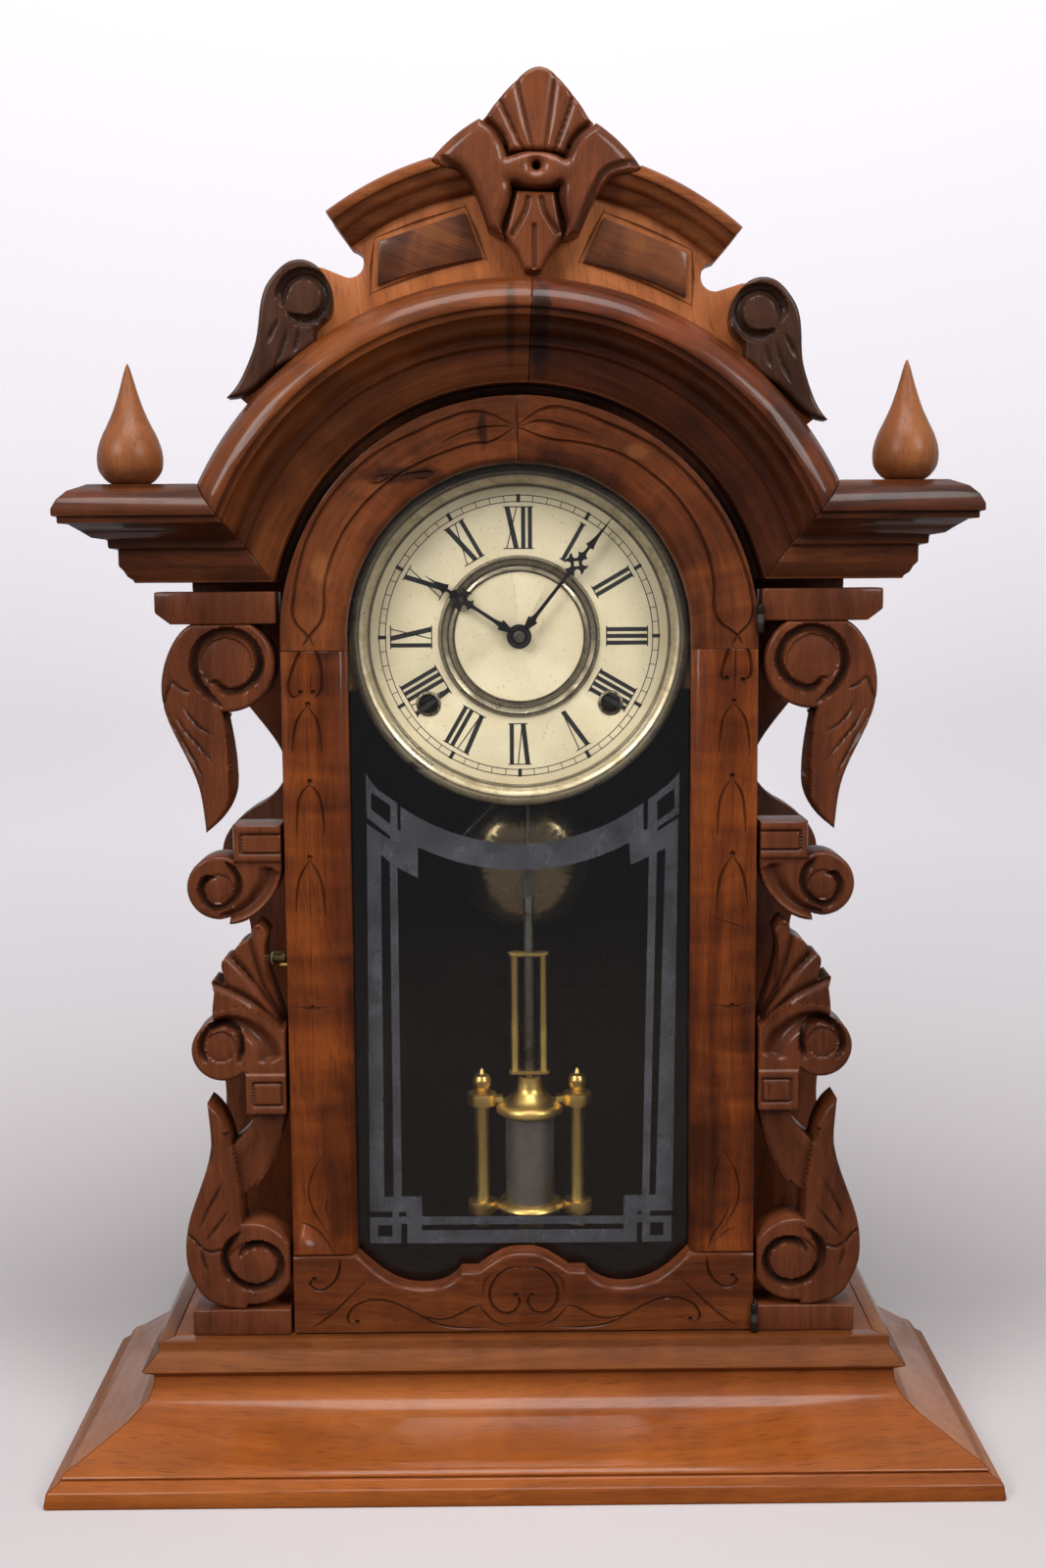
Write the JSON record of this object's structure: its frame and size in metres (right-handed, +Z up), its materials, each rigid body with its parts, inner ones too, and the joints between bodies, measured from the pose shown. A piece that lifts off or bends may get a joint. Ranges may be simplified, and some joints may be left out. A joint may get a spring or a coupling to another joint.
{
  "type": "shelf clock",
  "caption": "Carved walnut shelf clock with an arched glass door, hood, cornice and crest, a dial with hands, wound trains, a pendulum, a bell and its hammer.",
  "frame": {"origin": "centre of the clock's box on the surface it stands on, under the middle of its base", "axes": "+Z up, -Y out of the dial towards the viewer, +X to the viewer's right"},
  "size_m": [0.416, 0.16, 0.6078],
  "materials": {
    "base_walnut": "satin varnished walnut, golden brown",
    "case_walnut": "satin varnished walnut, reddish mid-brown",
    "hood_walnut": "satin varnished walnut mouldings",
    "carved_walnut": "dark varnished walnut carving",
    "burl_panel": "varnished burr veneer",
    "finial_wood": "light orange-brown turned wood",
    "plain_wood": "plain dark pine",
    "door_glass": "clear window glass",
    "dark_iron": "dark iron",
    "brass_wire": "aged brass",
    "dial_cream": "cream paper dial on zinc",
    "dial_rim_metal": "tarnished nickel",
    "hand_black": "black",
    "brass_parts": "brass",
    "steel_parts": "steel",
    "bob_brass": "lacquered brass",
    "bob_glass": "bright nickel cylinder",
    "bell_metal": "grey bell metal"
  },
  "bodies": {
    "case": {"base_moulding": "base_walnut", "base_floor": "plain_wood", "case_side_left": "case_walnut", "case_side_right": "case_walnut", "case_arch": "case_walnut", "back_board": "plain_wood", "case_battens": "plain_wood", "hood_board": "case_walnut", "shoulder_boards": "plain_wood", "cornice_left": "hood_walnut", "cornice_right": "hood_walnut", "arch_moulding_left": "hood_walnut", "arch_moulding_right": "hood_walnut", "crest_board": "carved_walnut", "crest_mouldings": "carved_walnut", "crest_panels": "burl_panel", "crest_cartouche": "carved_walnut", "crest_leaves": "carved_walnut", "crest_volute_left": "carved_walnut", "crest_volute_right": "carved_walnut", "finials": "finial_wood", "bracket_left": "carved_walnut", "bracket_right": "carved_walnut", "bracket_blocks": "carved_walnut", "rear_wings": "carved_walnut", "case_hinge_leaves": "dark_iron", "latch_fixings": "brass_wire", "dial_pan": "dial_cream", "dial_bezel": "dial_rim_metal", "dial_rings": "dial_rim_metal", "front_plate": "brass_parts", "back_plate": "brass_parts", "movement_fixings": "steel_parts", "great_wheels": "brass_parts", "mainsprings": "steel_parts", "train_wheels": "brass_parts", "bell": "bell_metal"},
    "door": {"door_arch_left": "case_walnut", "door_arch_right": "case_walnut", "door_stile_left": "case_walnut", "door_stile_right": "case_walnut", "door_bottom_rail": "case_walnut", "door_glass": "door_glass", "door_hinge_leaves": "dark_iron", "latch_pin": "brass_wire"},
    "latch": {"latch_hook": "brass_wire"},
    "minute_hand": {"centre_arbor": "steel_parts", "minute_hand": "hand_black", "hand_nut": "brass_parts"},
    "hour_hand": {"hour_wheel": "brass_parts", "hour_hand": "hand_black"},
    "minute_wheel": {"minute_wheel": "brass_parts"},
    "pendulum": {"pendulum_rod": "steel_parts", "bob_frame": "bob_brass", "bob_cylinder": "bob_glass"},
    "verge": {"verge": "steel_parts"},
    "escape_wheel": {"escape_wheel": "brass_parts"},
    "hammer": {"hammer": "steel_parts"},
    "time_winding_arbor": {"time_winding_arbor": "steel_parts"},
    "strike_winding_arbor": {"strike_winding_arbor": "steel_parts"}
  },
  "joints": [
    {"name": "door_swing", "type": "hinge", "parent": "case", "child": "door", "pos_m": [0.1044, -0.0332, 0.2], "axis": [0, 0, 1], "range_deg": [0, 95]},
    {"name": "latch_turn", "type": "hinge", "parent": "case", "child": "latch", "pos_m": [-0.1064, -0.005, 0.226], "axis": [1, 0, 0], "range_deg": [0, 90]},
    {"name": "minute_hand_turn", "type": "hinge", "parent": "case", "child": "minute_hand", "pos_m": [0, 0.03, 0.372], "axis": [0, 1, 0], "continuous": true},
    {"name": "hour_hand_turn", "type": "hinge", "parent": "case", "child": "hour_hand", "pos_m": [0, 0.03, 0.372], "axis": [0, 1, 0], "continuous": true},
    {"name": "minute_wheel_turn", "type": "hinge", "parent": "case", "child": "minute_wheel", "pos_m": [-0.01585, 0.03, 0.36285], "axis": [0, 1, 0], "continuous": true},
    {"name": "pendulum_swing", "type": "hinge", "parent": "case", "child": "pendulum", "pos_m": [0.0035, 0.004, 0.4095], "axis": [0, 1, 0], "range_deg": [-4.29, 4.29]},
    {"name": "verge_rock", "type": "hinge", "parent": "case", "child": "verge", "pos_m": [0.0035, 0.004, 0.4095], "axis": [0, 1, 0], "range_deg": [-4.3, 4.3]},
    {"name": "escape_wheel_turn", "type": "hinge", "parent": "case", "child": "escape_wheel", "pos_m": [0.0035, 0.004, 0.3935], "axis": [0, 1, 0], "range_deg": [-2.2, 2.2]},
    {"name": "hammer_lift", "type": "hinge", "parent": "case", "child": "hammer", "pos_m": [-0.008, 0.03, 0.328], "axis": [0, 1, 0], "range_deg": [0, 18]},
    {"name": "time_winding_turn", "type": "hinge", "parent": "case", "child": "time_winding_arbor", "pos_m": [0.0408, 0.03, 0.3422], "axis": [0, 1, 0], "continuous": true},
    {"name": "strike_winding_turn", "type": "hinge", "parent": "case", "child": "strike_winding_arbor", "pos_m": [-0.0408, 0.03, 0.3422], "axis": [0, 1, 0], "continuous": true}
  ],
  "couplings": [
    {"joint": "hour_hand_turn", "follows": "minute_hand_turn", "ratio": 0.083333},
    {"joint": "minute_wheel_turn", "follows": "minute_hand_turn", "ratio": -0.33333},
    {"joint": "verge_rock", "follows": "pendulum_swing", "ratio": 1},
    {"joint": "escape_wheel_turn", "follows": "pendulum_swing", "ratio": 0.5}
  ]
}
